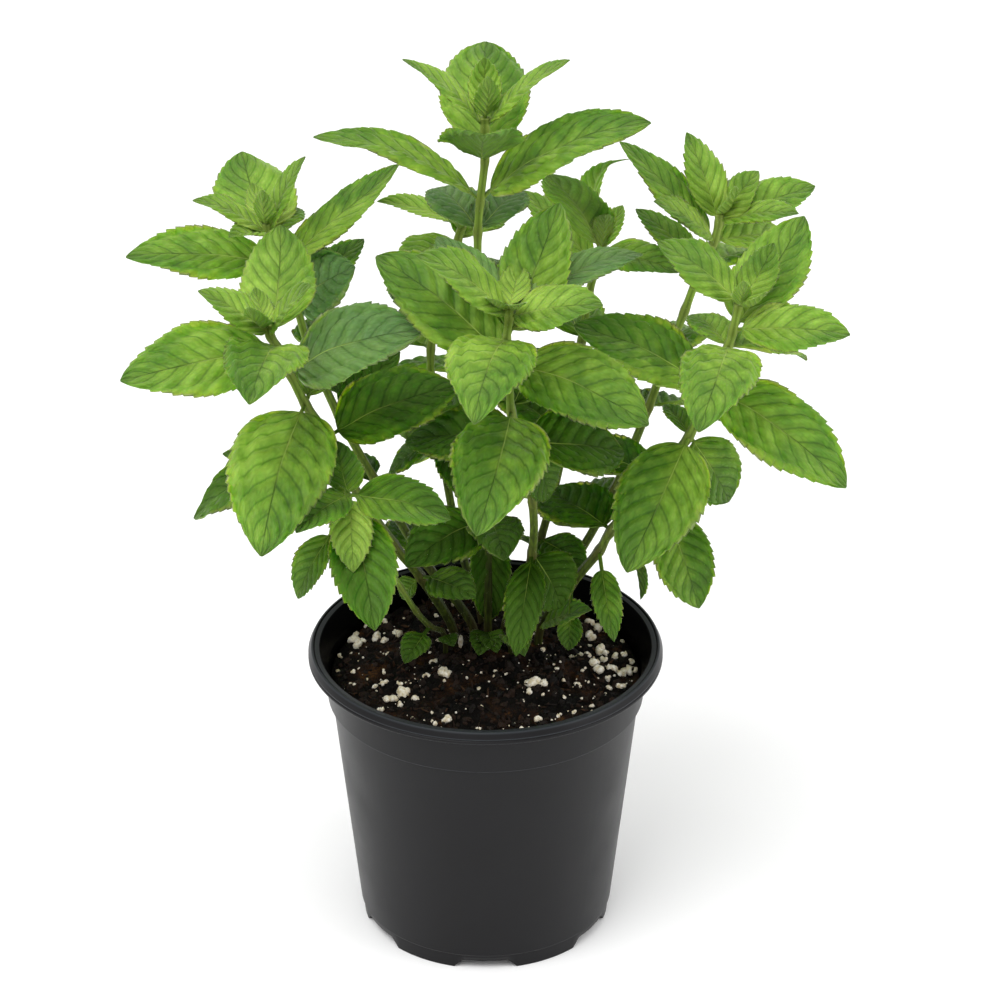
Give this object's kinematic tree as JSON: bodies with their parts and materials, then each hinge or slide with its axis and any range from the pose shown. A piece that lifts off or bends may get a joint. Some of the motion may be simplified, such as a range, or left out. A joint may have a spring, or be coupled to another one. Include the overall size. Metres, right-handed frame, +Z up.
{
  "type": "potted herb",
  "caption": "Mint plant with toothed leaves on square stems, growing in a round black moulded nursery pot filled with dark soil.",
  "frame": {"origin": "bottom centre of the bounding box, on the floor under the pot, on the pot's axis", "axes": "+Z up along the pot's axis, -Y towards the front of the plant, +X to its right"},
  "size_m": [0.305, 0.2529, 0.402],
  "materials": {
    "pot": "satin, finely textured black moulded polypropylene",
    "soil": "matt dark potting mix with white perlite",
    "leaf": "matt green mint foliage with a fine down"
  },
  "bodies": {
    "root": {"pot": "pot", "soil": "soil", "shoot_top": "leaf", "shoot_front": "leaf", "shoot_left": "leaf", "shoot_left_back": "leaf", "shoot_right": "leaf", "shoot_right_back": "leaf", "shoot_mid_back_right": "leaf", "shoot_mid_back_left": "leaf", "shoot_low_left": "leaf", "shoot_back": "leaf"}
  },
  "joints": []
}
